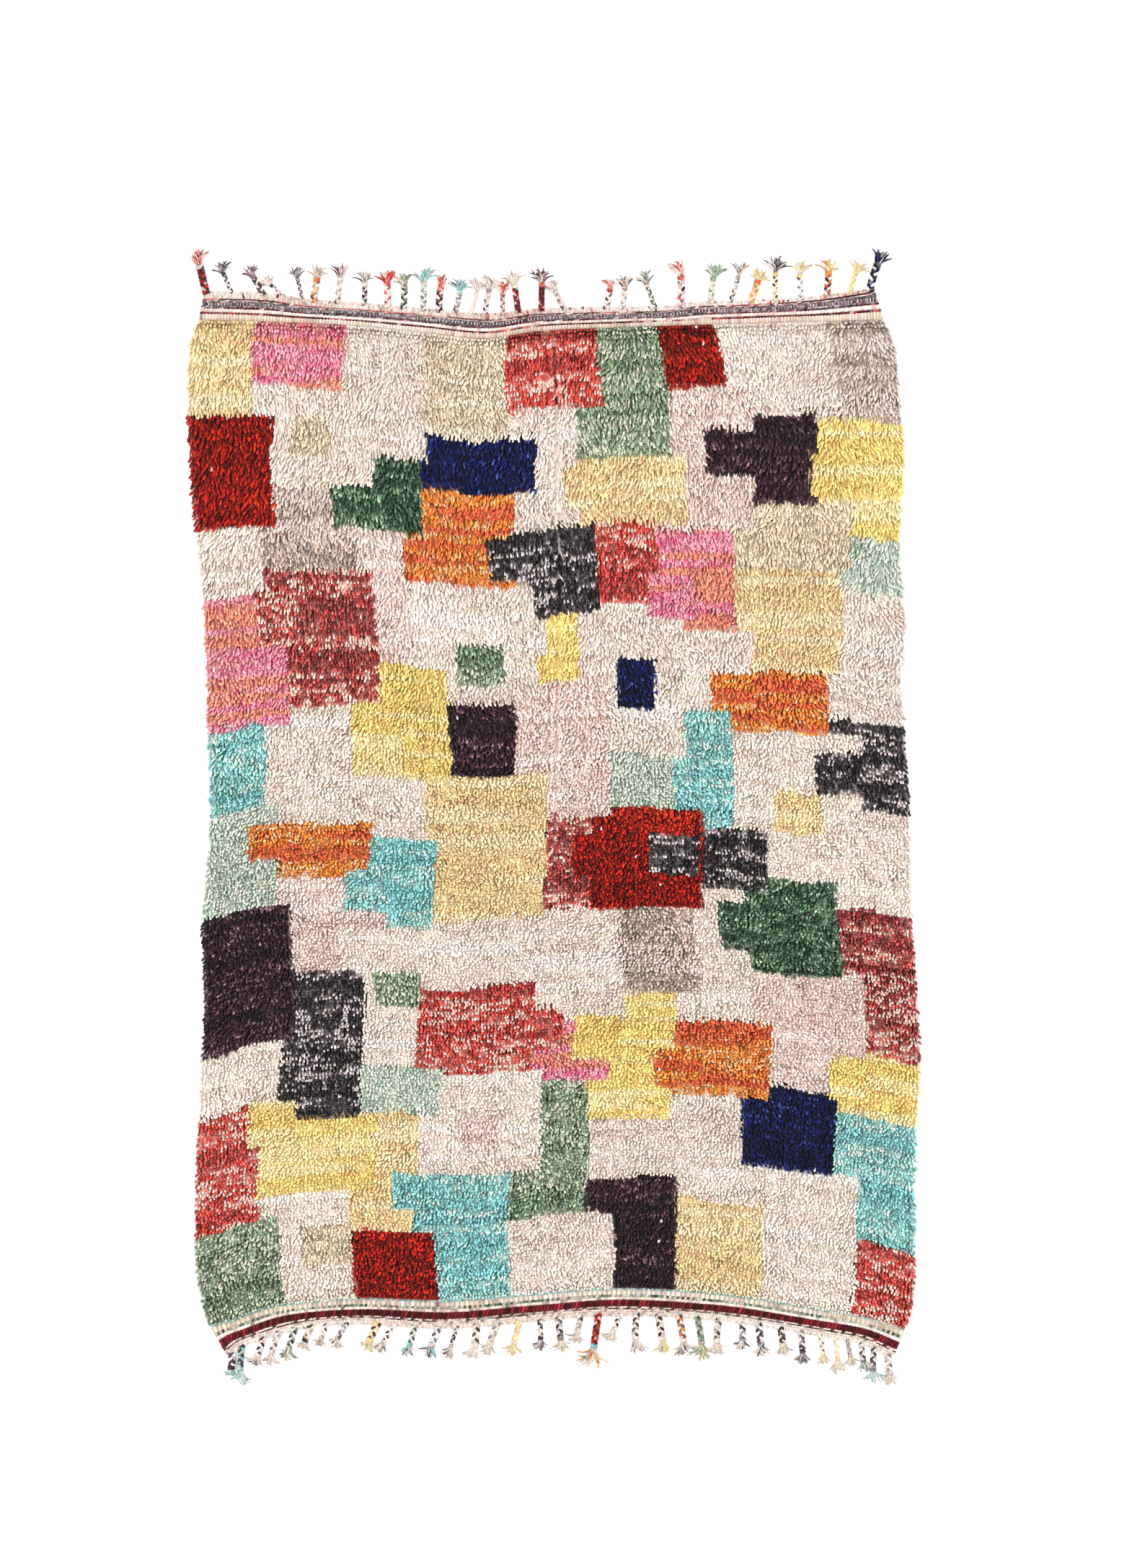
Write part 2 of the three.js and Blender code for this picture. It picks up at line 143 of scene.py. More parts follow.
# The pattern: the columns' widths, and each column's blocks from bottom to top, as length, yarn
# and how far the block's right side steps over the column's. All are shares of the sums.
COLUMN_WIDTHS = (19, 24, 15, 27, 18, 22, 17, 25, 17)
BLOCKS_IN_COLUMN = 10
BLOCKS = table_rows("""
26 sage 2, 34 coral -3, 18 cream 1, 40 aubergine 4, 30 mint 0,
24 turquoise -4, 38 blossom 3, 20 cream -2, 32 rust 2, 28 pale -3,
32 cream -4, 22 gold 3, 44 charcoal -2, 28 rose 5, 16 flame 0,
36 cream -5, 40 brick 2, 24 taupe -1, 30 cream 4, 18 blossom -3,
20 rust 3, 36 pale -2, 14 mint 4, 42 cream -3, 26 turquoise 2,
18 cream -1, 34 gold 5, 40 rose -4, 22 green 1, 38 cream 3,
38 turquoise -5, 30 cream 3, 26 coral 0, 20 cream -3, 44 pale 4,
22 aubergine -4, 36 cream 2, 28 flame -2, 16 navy 4, 30 sand -3,
24 cream 4, 40 sage -3, 18 blossom 2, 34 cream 5, 28 brick -2,
42 rose 3, 20 gold -5, 26 charcoal 1, 36 cream -3, 22 coral 4,
34 aubergine -2, 18 cream 4, 38 gold -4, 26 taupe 2, 30 rust 5,
16 mint -3, 46 cream 1, 24 coral -5, 20 pale 3, 38 sage -1,
28 pale 3, 32 cream -3, 22 flame 4, 40 cream -1, 18 charcoal 5,
36 turquoise -4, 24 cream 2, 30 blossom -2, 42 rose 4, 18 rust -3,
40 cream 2, 24 navy -4, 34 rose 3, 28 green -2, 44 cream 5,
18 flame -3, 30 pale 1, 20 sand 4, 26 aubergine -5, 26 cream 2,
22 coral 0, 36 turquoise 0, 18 gold 0, 42 brick 0, 30 cream 0,
26 charcoal 0, 38 cream 0, 16 mint 0, 34 gold 0, 28 taupe 0
""")
# Small patches over the joints: left, bottom, width, length and yarn
PATCHES = table_rows("""
13 47 12 13 gold, 36 98 13 12 cream, 37 116 12 12 turquoise, 11 132 14 10 flame,
51 158 13 13 gold, 14 196 11 15 brick, 36 231 13 12 green, 80 74 12 12 coral,
50 27 12 11 turquoise, 95 70 12 14 gold, 96 126 12 13 rust, 80 194 10 12 cream,
76 218 14 13 charcoal, 97 238 12 12 pale, 117 62 12 11 flame, 116 126 13 12 charcoal,
134 104 12 14 green, 133 176 12 11 flame, 117 204 12 13 blossom, 160 152 12 12 charcoal,
161 62 10 12 gold, 133 246 13 13 aubergine, 160 240 12 12 gold, 66 186 12 12 sage,
108 176 10 15 navy, 27 10 13 12 sand, 44 88 12 10 sage, 149 140 12 12 pale,
66 46 11 9 rose, 26 252 10 12 sand
""")

# The end bands' cloth
BAND_THICKNESS = 3.5
# Height of the ground between the stitches
BAND_GROUND = 2.2
# Stitches with more slant than this lie across their row, a little longer than it is wide
CROSSWISE_ABOVE = 60
# Where the long edges are sampled
EDGE_SHARES = np.linspace(0, 1, 241)
# Rows of each band, from the pile outwards: name, width as a share of their sum, rise, stitch
# pitch, slant of the stitches from the row in degrees, yarns that lie in stretches along the
# row, and the yarn and share of single stitches
TOP_BAND_ROWS = [
    ("cream", 10.5, 1.2, 6.4, 90, ("cream", "rose"), "sand", 0.09),
    ("red", 3.4, 0.9, 8.2, 12, ("oxblood", "brick"), "plum", 0.2),
    ("white", 6.6, 1.4, 8.2, 8, ("white", "rose"), "rose", 0.3),
    ("inner_red", 2.2, 0.9, 8.2, 12, ("oxblood", "plum"), "brick", 0.2),
    ("blue_1", 3.2, 1.1, 4.6, 24, ("slate", "plum", "slate"), "ash", 0.34),
    ("blue_2", 4.9, 1.1, 3.3, 86, ("slate", "plum", "slate", "ash"), "taupe", 0.5),
    ("blue_3", 3.2, 1.1, 4.6, -24, ("slate", "slate", "plum"), "ash", 0.34),
    ("outer_white", 1.8, 0.9, 8.2, 8, ("rose", "taupe"), "slate", 0.3),
    ("outer_red", 2.2, 0.8, 8.2, 12, ("oxblood", "brick", "oxblood"), "rose", 0.08),
]
BOTTOM_BAND_ROWS = [
    ("turquoise", 4.8, 1.3, 5.2, 74, ("turquoise", "turquoise", "mint"), "cream", 0.34),
    ("cream", 9.8, 1.3, 10.2, 90, ("ivory", "cream", "ivory"), "taupe", 0.08),
    ("green", 5, 0.8, 5.4, 30, ("green", "sage", "green"), "taupe", 0.5),
    ("inner_cream", 6.8, 1.1, 7.6, 8, ("rose", "cream"), "taupe", 0.2),
    ("maroon", 13.6, 2.4, 7.4, 72, ("garnet",), "oxblood", 0.5),
    ("white", 3.8, 1, 7.6, 8, ("taupe", "rose"), "plum", 0.34),
    ("black", 2.2, 0.7, 7.6, 8, ("charcoal", "plum"), "taupe", 0.2),
    ("outer_cream", 4.4, 0.8, 6.4, 14, ("cream", "rose"), "taupe", 0.2),
]

# Plaits: place along the edge, length, lean in degrees, stoutness, and the yarns of the three
# strands, the knot and two of the fan
TOP_PLAITS = table_rows("""
-724 85 -13 1.25 oxblood charcoal rust charcoal coral charcoal
-670 65 -22 0.75 charcoal white ash charcoal charcoal ash
-606 62 -29 1 plum charcoal white plum plum slate
-563 54 -50 0.65 charcoal white white charcoal rose taupe
-526 67 -15 0.65 ash rose ash slate slate ash
-502 70 9 1.15 flame charcoal cream flame sand taupe
-452 77 7 0.95 white sand charcoal rose rose plum
-396 65 0 0.9 ash white charcoal sand sand slate
-346 73 -2 1.1 rose brick white coral coral rust
-314 68 0 1.05 white sage charcoal taupe sage taupe
-273 85 0 1 white ash mint taupe turquoise ash
-240 72 7 1.1 oxblood rose ash coral coral rose
-207 69 9 0.9 ash slate white turquoise turquoise ash
-175 74 13 0.65 rose rose white rose rose rose
-144 80 12 0.9 charcoal rose white ash rose ash
-106 64 2 0.8 rose brick ash coral coral coral
-73 84 -8 1 oxblood rust charcoal cream cream sand
-26 83 2 1 charcoal oxblood rust coral charcoal brick
22 60 -24 0.9 rose charcoal taupe taupe rose taupe
108 58 10 1 rose cream ash coral coral rose
142 65 4 0.95 charcoal cream white taupe taupe charcoal
211 76 -19 0.8 green white ash taupe green taupe
264 90 -3 1.2 coral white charcoal coral coral rose
326 78 9 1 cream sage sand sage sage mint
366 84 15 0.75 charcoal white taupe ash ash pale
409 67 17 1.1 flame gold cream flame pale gold
460 88 2 0.85 gold white charcoal gold ash charcoal
514 75 0 0.95 cream charcoal white gold gold taupe
567 74 3 1.1 charcoal white flame flame gold flame
616 68 19 0.8 gold pale sand gold gold pale
657 83 19 1.25 charcoal navy white charcoal navy charcoal
""")
BOTTOM_PLAITS = table_rows("""
-674 42 -5 1.2 aubergine charcoal white aubergine turquoise mint
-652 75 -2 1.05 charcoal turquoise charcoal turquoise turquoise mint
-607 58 -19 1.05 charcoal rose white rose rose ash
-574 64 -17 1 white charcoal rose rose rose taupe
-541 63 -16 1.05 cream charcoal sage sage sage taupe
-505 50 -20 1.1 charcoal sand cream charcoal taupe sand
-475 44 -22 0.85 charcoal rose white taupe taupe rose
-431 54 -33 0.9 charcoal white ash charcoal taupe charcoal
-367 58 -24 1.2 gold sand aubergine gold gold sand
-333 62 -27 0.9 charcoal rose white rose rose ash
-290 60 -16 1 white charcoal mint turquoise turquoise slate
-240 62 -22 1.1 white slate mint taupe turquoise ash
-202 65 -17 0.7 charcoal white charcoal charcoal taupe ash
-162 65 -9 1.2 cream charcoal sand cream cream rose
-118 66 -19 1.1 cream sand ash sand cream sand
-73 70 -16 1 pale gold sand pale pale gold
-30 60 1 0.9 charcoal white charcoal charcoal ash cream
8 67 6 1.1 ash charcoal cream ash cream sand
54 54 -14 1 cream charcoal taupe taupe taupe cream
92 105 -8 1.15 oxblood brick rust turquoise flame turquoise
138 57 -24 0.9 cream charcoal white cream cream sand
172 76 -1 1.1 white taupe charcoal rose taupe rose
217 76 10 1.15 cream aubergine sand cream sand gold
260 80 7 1.1 cream flame ash cream sand ash
298 84 6 1.05 sage ash green taupe sage gold
343 70 -3 1.1 sand charcoal cream sand sand rose
392 52 -3 1.05 charcoal white charcoal ash ash cream
426 62 7 1.15 charcoal white charcoal charcoal cream charcoal
472 53 8 1.1 aubergine cream charcoal sand taupe sand
514 62 5 1.05 charcoal white charcoal charcoal ash cream
555 57 7 0.85 pale cream ash pale pale cream
585 70 4 0.85 cream pale sand pale cream pale
611 52 10 0.75 ash charcoal taupe ash sand ash
640 56 8 0.95 charcoal white mint ash mint charcoal
668 70 0 1 charcoal white slate ash turquoise mint
696 58 5 1.1 taupe cream ash taupe sand cream
""")
# A strip's ground at its band and at its far side
STRIP_HEIGHTS = (2.6, 2.2)
LOOP_PITCH = 4.6
PLAIT_ROOT_DEPTH = 4.5
# Radius and swing of a plait's strands and the length of their turn, for a stoutness of 1
STRAND_RADIUS, STRAND_SWING, STRAND_TURN = 2.9, 4.2, 19
STRAND_STEP = 2.1
# The knot and the fan begin at these shares of the length
KNOT_SHARE = 0.62
FAN_SHARE = 0.68
KNOT_RADIUS, KNOT_YARN_RADIUS, KNOT_POINTS = 3.8, 2.2, 19
FAN_STRANDS = 18
FAN_RADII = 2.0 * np.array((1, 1.05, 1, 0.95, 0.8, 0.5))

# Numbers that look random and are the same in each run


def scatter(i, j=0):
    """The same scatter as in the rug's solids, from 0 to 1."""
    s = math.sin(i * 127.1 + j * 311.7 + 11.3) * 43758.5453
    return s - math.floor(s)


def soft_noise(x, y, seed):
    """Smooth noise from 0 to 1 with a grain of one unit."""
    table = np.random.default_rng(seed).random((64, 64))
    x, y = np.asarray(x, float), np.asarray(y, float)
    i, j = np.floor(x).astype(int), np.floor(y).astype(int)
    fx, fy = x - i, y - j
    fx, fy = fx * fx * (3 - 2 * fx), fy * fy * (3 - 2 * fy)
    at = lambda a, b: table[(i + a) % 64, (j + b) % 64]
    low = at(0, 0) * (1 - fx) + at(1, 0) * fx
    high = at(0, 1) * (1 - fx) + at(1, 1) * fx
    return low * (1 - fy) + high * fy


def smooth_step(x, start, end):
    t = np.clip((x - start) / (end - start), 0, 1)
    return t * t * (3 - 2 * t)


def linear(colour):
    """sRGB from 0 to 255 as linear light."""
    c = np.asarray(colour, float) / 255
    return np.where(c <= 0.04045, c / 12.92, ((c + 0.055) / 1.055) ** 2.4)


# The outline


def edge_through(places, axis):
    """A smooth line through places in order of one coordinate, as a function of the share of
    the way along it, which gives points."""
    places = np.array(places, float)
    at, value = places[:, axis], places[:, 1 - axis]
    before = np.maximum(np.arange(len(at)) - 1, 0)
    after = np.minimum(np.arange(len(at)) + 1, len(at) - 1)
    slope = (value[after] - value[before]) / (at[after] - at[before])

    def line(share):
        here = at[0] + np.asarray(share, float) * (at[-1] - at[0])
        i = np.clip(np.searchsorted(at, here) - 1, 0, len(at) - 2)
        span = at[i + 1] - at[i]
        t = (here - at[i]) / span
        found = (
            (2 * t**3 - 3 * t**2 + 1) * value[i]
            + (t**3 - 2 * t**2 + t) * span * slope[i]
            + (3 * t**2 - 2 * t**3) * value[i + 1]
            + (t**3 - t**2) * span * slope[i + 1]
        )
        pair = (here, found) if axis == 0 else (found, here)
        return np.stack(pair, axis=-1) + OUTLINE_SHIFT

    return line


pile_top = edge_through(PILE_TOP_EDGE, 0)
pile_bottom = edge_through(PILE_BOTTOM_EDGE, 0)
pile_left = edge_through(PILE_LEFT_EDGE, 1)
pile_right = edge_through(PILE_RIGHT_EDGE, 1)
band_top = edge_through(BAND_TOP_EDGE, 0)
band_bottom = edge_through(BAND_BOTTOM_EDGE, 0)


def pile_place(u, v):
    """Points of the field at share u across and share v along."""
    u, v = np.broadcast_arrays(np.asarray(u, float), np.asarray(v, float))
    a, b = u[..., None], v[..., None]
    ruled = (1 - b) * pile_bottom(u) + b * pile_top(u) + (1 - a) * pile_left(v) + a * pile_right(v)
    twisted = (1 - b) * ((1 - a) * pile_bottom(0.0) + a * pile_bottom(1.0)) + b * (
        (1 - a) * pile_top(0.0) + a * pile_top(1.0)
    )
    return ruled - twisted


def outwards(edge, u, side):
    """Unit vectors square to an edge at share u, towards side 1 or -1 along y."""
    a, b = edge(np.clip(u - 0.01, 0, 1)), edge(np.clip(u + 0.01, 0, 1))
    along = (b - a) / np.linalg.norm(b - a, axis=-1, keepdims=True)
    return np.stack((-along[..., 1], along[..., 0]), axis=-1) * side


def crease_line(y):
    return CREASE["x"] + CREASE["sway"] * np.sin(y / 310)


def crease_strength(y):
    return smooth_step(y, CREASE["ends_at"], CREASE["ends_at"] + CREASE["fades_over"])


def crease_rise(x, y):
    away = (x - crease_line(y)) / CREASE["half_width"]
    trough = -CREASE["depth"] * np.exp(-away * away)
    return crease_strength(y) * (trough + 1.8 * np.exp(-((np.abs(away) - 2) ** 2)))


def lump_rise(x, y):
    wave = np.sin(x / 47 + 1.3 * np.sin(y / 71)) * np.cos(y / 39 + 1.1 * np.sin(x / 83))
    return 1.5 * wave


# Yarn colours over the pattern

YARN_NAMES = list(YARNS)


def yarn_colours(names, across, along, block, seed, pale_share=0.0):
    """Linear colours of stitches or knots: names are indices into YARN_NAMES, across and along
    are their places counted in knots, and block is a number for each that they share."""
    rng = np.random.default_rng(seed)
    n = len(names)
    table = {k: np.array([linear(YARNS[y][c]) for y in YARN_NAMES]) for k, c in
             (("main", 0), ("fleck", 1), ("row", 3))}
    fleck_share = np.array([YARNS[y][2] for y in YARN_NAMES])[names]
    row_share = np.array([YARNS[y][4] for y in YARN_NAMES])[names]
    rows = soft_noise(along / 2.6 + block * 7.31, across / 60 + block * 3.17, seed + 1)
    in_row = smooth_step(rows, 0.93 - row_share * 1.3, 1.07 - row_share * 1.3)[:, None]
    colour = table["row"][names] * in_row + table["main"][names] * (1 - in_row)
    # Flecks come in short runs along a row, where the spun yarn shows its other colour
    marled = fleck_share > MARLED_ABOVE
    loose, run = np.where(marled, 0.22, 0.37), np.where(marled, 2.3, 3.4)
    runs = soft_noise(across / run, along * np.where(marled, 1.7, 1.3) + block, seed + 2)
    runs = loose * rng.random(n) + (1 - loose) * runs
    runs += 0.35 * in_row[:, 0]
    flecked = runs < 0.19 + 0.62 * fleck_share
    amount = np.where(flecked, 0.62 + 0.38 * rng.random(n), 0.14 * rng.random(n))[:, None]
    colour = colour * (1 - amount) + table["fleck"][names] * amount
    pale = rng.random(n) < pale_share
    colour = np.where(pale[:, None], linear(PALE_FLECK), colour)
    # Dark yarns vary more from strand to strand than pale ones
    drift = soft_noise(along / 19 + block, across / 31, seed + 3) - 0.5
    spread = 0.08 + 0.64 * (1 - colour.mean(axis=1)) ** 2
    shade = np.exp(0.16 * drift + spread * (np.clip(rng.normal(size=n), -2, 2) - 0.4 * spread))
    tint = 1 + 0.05 * (rng.random((n, 3)) - 0.5)
    return np.clip(colour * shade[:, None] * tint, 0, 1)


def pattern_at(u, v):
    """The yarn and block number at shares u and v of the field."""
    width = sum(COLUMN_WIDTHS)
    length = sum(rows for rows, _, _ in BLOCKS[:BLOCKS_IN_COLUMN])
    # The blocks' edges waver, in long waves and in short ones
    x = u * width + 1.3 * (soft_noise(v * 14, u * 3, 5) - 0.5)
    x = x + 0.5 * (soft_noise(v * 60, u * 9, 6) - 0.5)
    y = v * length + 2.6 * (soft_noise(u * 12, v * 3, 7) - 0.5)
    y = y + 1.0 * (soft_noise(u * 50, v * 9, 8) - 0.5)
    yarn = np.zeros(u.shape, int)
    block = np.zeros(u.shape, int)
    left = np.full(u.shape, -99.0)
    start = 0
    for c, wide in enumerate(COLUMN_WIDTHS):
        start += wide
        bottom = 0
        blocks = BLOCKS[c * BLOCKS_IN_COLUMN:(c + 1) * BLOCKS_IN_COLUMN]
        for b, (rows, name, step) in enumerate(blocks):
            here = (y >= bottom) & ((y < bottom + rows) | (b == len(blocks) - 1))
            if b == 0:
                here |= y < 0
            right = start + step if c < len(COLUMN_WIDTHS) - 1 else 999
            take = here & (x >= left)
            yarn[take] = YARN_NAMES.index(name)
            block[take] = c * 20 + b
            left = np.where(here, np.where(left > -99, np.maximum(left, right), right), left)
            bottom += rows
    for k, (x0, y0, wide, rows, name) in enumerate(PATCHES):
        inside = (x >= x0) & (x < x0 + wide) & (y >= y0) & (y < y0 + rows)
        yarn[inside] = YARN_NAMES.index(name)
        block[inside] = 300 + k
    return yarn, block


# Node trees: a socket that works in expressions, and one way to add any node


class Socket:
    def __init__(self, nodes, socket):
        self.nodes, self.socket = nodes, socket

    def maths(self, operation, first, second):
        kind = "ShaderNodeMath"
        return self.nodes.add(kind, {"operation": operation}, {0: first, 1: second})

    def __add__(self, other):
        return self.maths("ADD", self, other)

    def __radd__(self, other):
        return self.maths("ADD", other, self)

    def __sub__(self, other):
        return self.maths("SUBTRACT", self, other)

    def __rsub__(self, other):
        return self.maths("SUBTRACT", other, self)

    def __mul__(self, other):
        return self.maths("MULTIPLY", self, other)

    def __rmul__(self, other):
        return self.maths("MULTIPLY", other, self)


class Nodes:
    def __init__(self, tree):
        self.tree = tree
        tree.nodes.clear()

    def add(self, kind, settings=None, inputs=None, output=0):
        """Adds a node, sets it up, fills or links its inputs, and gives one of its outputs."""
        node = self.tree.nodes.new(kind)
        for name, value in (settings or {}).items():
            setattr(node, name, value)
        for name, value in (inputs or {}).items():
            self.fill(node.inputs[name], value)
        return Socket(self, node.outputs[output]) if node.outputs else node

    def fill(self, socket, value):
        if isinstance(value, Socket):
            self.tree.links.new(value.socket, socket)
        else:
            socket.default_value = value


# Materials


def wool(name, root_shade, tone, fibre, bump):
    """Spun wool whose colour is in the mesh. along is 0 at a strand's root and 1 at its tip, and
    the colour is darkened towards the root as painted shade, down to root_shade.
    """
    material = bpy.data.materials.new(name)
    material.use_nodes = True
    n = Nodes(material.node_tree)
    place = n.add("ShaderNodeTexCoord", output="Object")
    yarn = n.add("ShaderNodeAttribute", {"attribute_name": "yarn"}, output="Color")
    along = n.add("ShaderNodeAttribute", {"attribute_name": "along"}, output="Fac")
    combed = n.add("ShaderNodeMapping", {}, {"Vector": place, "Scale": (1.0, 0.3, 0.6)})
    hairs = n.add("ShaderNodeTexNoise", {},
                  {"Vector": combed, "Scale": fibre, "Detail": 3.0, "Roughness": 0.65}, "Fac")
    twist = n.add("ShaderNodeTexNoise", {},
                  {"Vector": combed, "Scale": fibre * 0.3, "Detail": 2.0}, "Fac")
    # Painted shade darkens the roots, and the fibre streaks are partly the fibres' own colour and
    # partly painted shade in the hollows between them. Light comes through pale wool, so on it
    # this painted shade is lighter
    pale = n.add("ShaderNodeRGBToBW", {}, {"Color": yarn})
    root = root_shade + (1 - root_shade) * pale
    depth = 3.5 - 3.6 * pale
    shade = tone * (root + (1 - root) * along) * (1 + depth * (hairs * 0.5 + twist * 0.9 - 0.7))
    grey = n.add("ShaderNodeCombineColor", {}, {"Red": shade, "Green": shade, "Blue": shade})
    colour = n.add("ShaderNodeMix", {"data_type": "RGBA", "blend_type": "MULTIPLY"},
                   {"Factor": 1.0, 6: yarn, 7: grey}, 2)
    height = hairs * 0.6 + twist
    normal = n.add("ShaderNodeBump", {}, {"Height": height, "Strength": bump, "Distance": 0.0008})
    surface = n.add("ShaderNodeBsdfPrincipled", {}, {
        "Base Color": colour, "Roughness": 0.92, "Normal": normal,
        "Sheen Weight": 0.04, "Sheen Roughness": 0.6, "Specular IOR Level": 0.2,
    })
    n.add("ShaderNodeOutputMaterial", {}, {"Surface": surface})
    return material


def floor_material():
    material = bpy.data.materials.new("pale floor")
    material.use_nodes = True
    n = Nodes(material.node_tree)
    place = n.add("ShaderNodeTexCoord", output="Object")
    grain = n.add("ShaderNodeTexNoise", {}, {"Vector": place, "Scale": 6.0, "Detail": 4.0}, "Fac")
    colour = n.add("ShaderNodeMix", {"data_type": "RGBA"}, {
        "Factor": grain, 6: (0.93, 0.93, 0.93, 1), 7: (0.95, 0.95, 0.95, 1)}, 2)
    surface = n.add("ShaderNodeBsdfPrincipled", {}, {
        "Base Color": colour, "Roughness": 0.9, "Specular IOR Level": 0.1})
    n.add("ShaderNodeOutputMaterial", {}, {"Surface": surface})
    return material


# Meshes


def mesh_object(name, points, faces, material=None):
    """An object of points in millimetres, with smooth faces."""
    mesh = bpy.data.meshes.new(name)
    mesh.from_pydata((np.asarray(points, float) / 1000).tolist(), [], faces)
    mesh.polygons.foreach_set("use_smooth", np.ones(len(mesh.polygons), bool))
    if material:
        mesh.materials.append(material)
    mesh.update()
    thing = bpy.data.objects.new(name, mesh)
    bpy.context.scene.collection.objects.link(thing)
    return thing


def keep(mesh, name, kind, domain, values):
    """Stores an attribute of a mesh."""
    values = np.asarray(values, np.float32)
    if kind == "FLOAT_COLOR":
        values = np.column_stack((values, np.ones(len(values), np.float32)))
    key = {"FLOAT_COLOR": "color", "FLOAT": "value", "FLOAT_VECTOR": "vector"}[kind]
    mesh.attributes.new(name, kind, domain).data.foreach_set(key, values.ravel())


def strand_shape(name, rings, sides, bend=0.0):
    """A strand along +Z, one unit long and one unit in radius: rings are height and radius,
    and a radius of 0 is a point. It carries along and a bake map of its own."""
    points, faces, heights, around = [], [], [], []
    index = []
    for height, radius in rings:
        row = []
        for k in range(sides if radius else 1):
            angle = 2 * math.pi * k / sides
            x = radius * math.cos(angle) + bend * height * height
            points.append((x, radius * math.sin(angle), height))
            heights.append(height)
            around.append(k / sides)
            row.append(len(points) - 1)
        index.append(row)
    for low, high in zip(index, index[1:]):
        for k in range(sides):
            corners = [low[k % len(low)], low[(k + 1) % len(low)],
                       high[(k + 1) % len(high)], high[k % len(high)]]
            faces.append([p for i, p in enumerate(corners) if p not in corners[:i]])
    if len(index[-1]) > 1:
        faces.append(index[-1])
    thing = mesh_object(name, np.array(points) * 1000, faces)
    mesh = thing.data
    low, high = min(heights), max(heights)
    along = (np.array(heights) - low) / (high - low)
    keep(mesh, "along", "FLOAT", "POINT", along)
    uv = mesh.uv_layers.new(name="OFBake").data
    for face in mesh.polygons:
        for k, loop in enumerate(face.loop_indices):
            p = mesh.loops[loop].vertex_index
            # The last side ends at 1, and not back at 0
            across = around[p] if k in (0, 3) else around[p] or 1.0
            uv[loop].uv = (0.1 + 0.8 * across, 0.05 + 0.9 * along[p])
    bpy.context.scene.collection.objects.unlink(thing)
    return thing


def planting_tree():
    """Plants one strand on each point of a mesh, turned and sized by the point's attributes."""
    tree = bpy.data.node_groups.new("plant strands", "GeometryNodeTree")
    face = tree.interface
    face.new_socket("Geometry", in_out="INPUT", socket_type="NodeSocketGeometry")
    for name, kind in (("Strand", "NodeSocketObject"), ("Twist", "NodeSocketFloat"),
                       ("Cell size", "NodeSocketFloat"), ("Seed", "NodeSocketInt"),
                       ("Wool", "NodeSocketMaterial")):
        face.new_socket(name, in_out="INPUT", socket_type=kind)
    face.new_socket("Geometry", in_out="OUTPUT", socket_type="NodeSocketGeometry")
    n = Nodes(tree)
    given = n.add("NodeGroupInput").socket.node.outputs
    given = {s.name: Socket(n, s) for s in given if s.name}

    def read(name):
        kind = "GeometryNodeInputNamedAttribute"
        return n.add(kind, {"data_type": "FLOAT_VECTOR"}, {"Name": name})

    strand = n.add("GeometryNodeObjectInfo", {}, {"Object": given["Strand"]}, "Geometry")
    turn = n.add("FunctionNodeEulerToRotation", {}, {"Euler": read("turn")})
    spin = n.add("FunctionNodeRandomValue", {"data_type": "FLOAT"},
                 {2: 0.0, 3: given["Twist"], "Seed": given["Seed"]}, 1)
    own = n.add("FunctionNodeAxisAngleToRotation", {}, {"Axis": (0, 0, 1), "Angle": spin})
    turn = n.add("FunctionNodeRotateRotation", {"rotation_space": "LOCAL"}, {0: turn, 1: own})
    planted = n.add("GeometryNodeInstanceOnPoints", {}, {
        "Points": given["Geometry"], "Instance": strand, "Rotation": turn, "Scale": read("size")})
    real = n.add("GeometryNodeRealizeInstances", {}, {"Geometry": planted})
    size = n.add("ShaderNodeCombineXYZ", {}, {"X": given["Cell size"], "Y": given["Cell size"]})
    cell = n.add("ShaderNodeVectorMath", {"operation": "MULTIPLY_ADD"},
                 {0: read("OFBake"), 1: size, 2: read("cell")})
    mapped = n.add("GeometryNodeStoreNamedAttribute", {"data_type": "FLOAT2", "domain": "CORNER"},
                   {"Geometry": real, "Name": "OFBake", "Value": cell})
    finished = n.add("GeometryNodeSetMaterial", {},
                     {"Geometry": mapped, "Material": given["Wool"]})
    n.add("NodeGroupOutput", {}, {"Geometry": finished})
    return tree


def plant(name, tree, strand, points, turns, sizes, colours, material, twist, seed):
    """A piece of strands, one for each point in millimetres, as one plain mesh."""
    seats = mesh_object(name + "_seats", points, [])
    keep(seats.data, "turn", "FLOAT_VECTOR", "POINT", turns)
    keep(seats.data, "size", "FLOAT_VECTOR", "POINT", np.asarray(sizes) / 1000)
    keep(seats.data, "yarn", "FLOAT_COLOR", "POINT", colours)
    side = math.ceil(math.sqrt(len(points)))
    k = np.arange(len(points))
    cells = np.column_stack((k % side, k // side, 0 * k)) / side
    keep(seats.data, "cell", "FLOAT_VECTOR", "POINT", cells)
    modifier = seats.modifiers.new("plant", "NODES")
    modifier.node_group = tree
    values = {"Strand": strand, "Twist": twist, "Cell size": 1 / side, "Seed": seed,
              "Wool": material}
    for item in tree.interface.items_tree:
        if item.in_out == "INPUT" and item.name in values:
            modifier[item.identifier] = values[item.name]
    graph = bpy.context.evaluated_depsgraph_get()
    mesh = bpy.data.meshes.new_from_object(seats.evaluated_get(graph))
    mesh.name = name
    for spare in ("turn", "size", "cell"):
        if spare in mesh.attributes:
            mesh.attributes.remove(mesh.attributes[spare])
    mesh.polygons.foreach_set("use_smooth", np.ones(len(mesh.polygons), bool))
    bpy.data.objects.remove(seats)
    piece = bpy.data.objects.new(name, mesh)
    bpy.context.scene.collection.objects.link(piece)
    return piece


# The pile


def rim_nearness(u, v):
    """1 at the field's rim and 0 well inside, for the two long sides and for the two ends."""
    sides = 1 - np.clip(np.minimum(u, 1 - u) * FIELD_WIDTH / SIDE_RIM, 0, 1)
    ends = 1 - np.clip(np.minimum(v, 1 - v) * FIELD_LENGTH / END_RIM, 0, 1)
    return sides, ends


